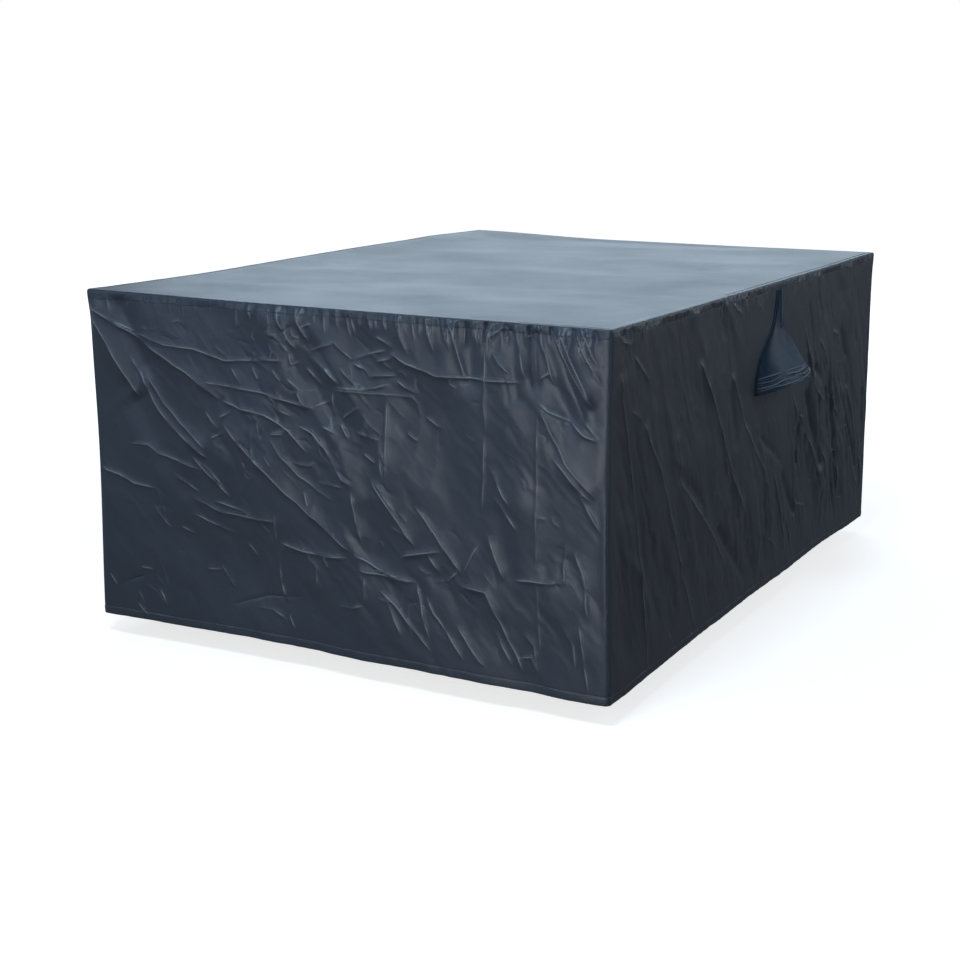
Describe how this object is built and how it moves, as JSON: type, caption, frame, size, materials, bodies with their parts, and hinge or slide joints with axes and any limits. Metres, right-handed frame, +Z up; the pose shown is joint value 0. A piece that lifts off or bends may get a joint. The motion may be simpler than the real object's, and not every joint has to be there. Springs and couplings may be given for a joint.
{
  "type": "patio furniture cover",
  "caption": "Fitted rectangular cover for garden furniture: a flat top sheet over four hanging cloth walls, open below, with a vent hood on one long wall.",
  "frame": {"origin": "centre of the top sheet's underside, where it lies on what it covers", "axes": "+X runs along the front wall towards the near corner, +Y runs along the right wall away from it, +Z is up"},
  "size_m": [1.2886, 1.7252, 0.7288],
  "materials": {
    "top_cloth": "slate coated polyester, faint sheen",
    "wall_cloth": "slate coated polyester, faint sheen, creased",
    "hood_cloth": "slate coated polyester, faint sheen"
  },
  "bodies": {
    "root": {"top_panel": "top_cloth", "front_panel": "wall_cloth", "right_panel": "wall_cloth", "back_panel": "wall_cloth", "left_panel": "wall_cloth", "vent_hood": "hood_cloth"}
  },
  "joints": []
}
